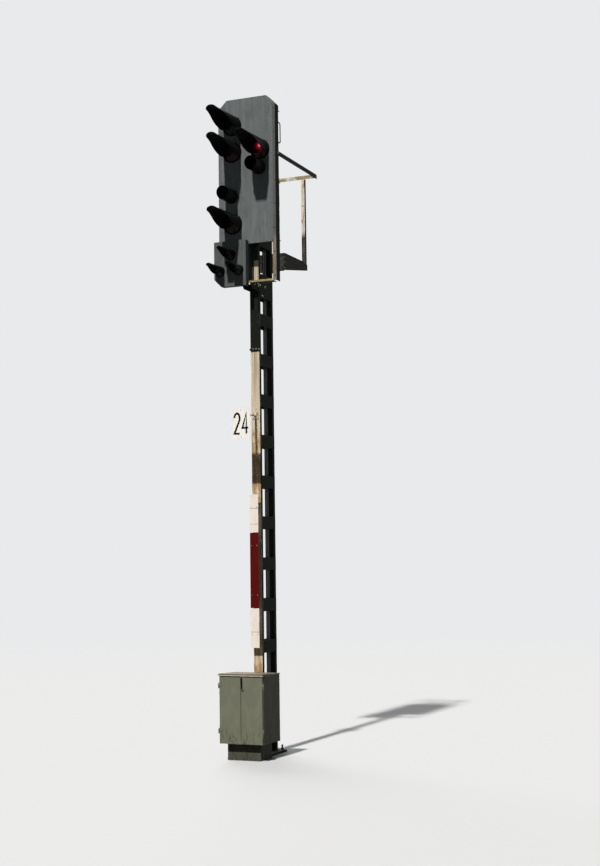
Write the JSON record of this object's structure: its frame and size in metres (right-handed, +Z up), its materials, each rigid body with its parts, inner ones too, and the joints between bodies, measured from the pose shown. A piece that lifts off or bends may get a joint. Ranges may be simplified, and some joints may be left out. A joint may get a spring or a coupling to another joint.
{
  "type": "colour-light railway main signal on a battened two-channel mast",
  "caption": "Railway colour-light signal: dark screen with hooded lenses on a battened channel mast, with rear maintenance cage, name plate, banded mast sign and foot cabinet.",
  "frame": {"origin": "centre of the foot plate's flat underside, on the foundation", "axes": "+X to the right across the screen as its lenses are seen, -Y the way the lenses face, +Z up the mast"},
  "size_m": [0.838, 2.0399, 8.405],
  "materials": {
    "cabinet_paint": "weathered satin paint",
    "cable_jacket": "matt",
    "frame_paint": "weathered matt paint",
    "galvanised_steel": "weathered zinc with rust",
    "green_glass": "coloured lens glass",
    "hood_enamel": "satin enamel",
    "housing_paint": "matt paint",
    "mast_paint": "weathered matt paint",
    "plinth_paint": "matt paint",
    "red_glass": "coloured lens glass",
    "red_glass_lit": "coloured lens glass, lit",
    "red_sheet": "reflective sheet",
    "screen_paint": "matt paint",
    "terminal_plastic": "matt",
    "white_glass": "clear lens glass",
    "white_sheet": "reflective sheet",
    "yellow_glass": "coloured lens glass"
  },
  "bodies": {
    "mast": {"battens_left": "mast_paint", "battens_right": "mast_paint", "cabinet_bearers": "mast_paint", "cabinet_body": "cabinet_paint", "cabinet_hinges": "galvanised_steel", "cabinet_plinth": "plinth_paint", "cabinet_roof": "cabinet_paint", "cable_clips": "galvanised_steel", "cage_crossbar": "galvanised_steel", "cage_posts": "galvanised_steel", "cage_rails": "galvanised_steel", "foot_gussets": "mast_paint", "foot_plate": "mast_paint", "frame_left": "frame_paint", "frame_right": "frame_paint", "frame_top": "frame_paint", "front_channel": "mast_paint", "grab_handles": "galvanised_steel", "head_arms": "frame_paint", "hood_green": "hood_enamel", "hood_red_left": "hood_enamel", "hood_red_right": "hood_enamel", "hood_sub_left": "hood_enamel", "hood_sub_right": "hood_enamel", "hood_sub_top": "hood_enamel", "hood_white_lower": "hood_enamel", "hood_white_upper": "hood_enamel", "hood_yellow": "hood_enamel", "housing_covers": "housing_paint", "lamp_housings": "housing_paint", "lens_green": "green_glass", "lens_red_left": "red_glass", "lens_red_right": "red_glass_lit", "lens_yellow": "yellow_glass", "lenses_subsidiary": "white_glass", "lenses_white": "white_glass", "lower_strut": "frame_paint", "mast_cap": "mast_paint", "mast_sign_brackets": "galvanised_steel", "mast_sign_red": "red_sheet", "mast_sign_white": "white_sheet", "name_plate": "white_sheet", "name_plate_arm": "galvanised_steel", "platform_beam": "galvanised_steel", "platform_brackets": "galvanised_steel", "platform_grating": "galvanised_steel", "rear_channel": "mast_paint", "screen_plate": "screen_paint", "signal_cable": "cable_jacket", "subsidiary_box": "screen_paint", "terminal_board": "terminal_plastic", "terminal_boxes": "housing_paint", "window_jamb": "frame_paint", "window_sill": "frame_paint"},
    "door_left": {"cabinet_door_left": "cabinet_paint"},
    "door_right": {"cabinet_door_right": "cabinet_paint"}
  },
  "joints": [
    {"name": "door_left_hinge", "type": "hinge", "parent": "mast", "child": "door_left", "pos_m": [-0.302, -0.741, 0.62], "axis": [0, 0, -1], "range_deg": [0, 110]},
    {"name": "door_right_hinge", "type": "hinge", "parent": "mast", "child": "door_right", "pos_m": [0.302, -0.741, 0.62], "axis": [0, 0, 1], "range_deg": [0, 110]}
  ]
}
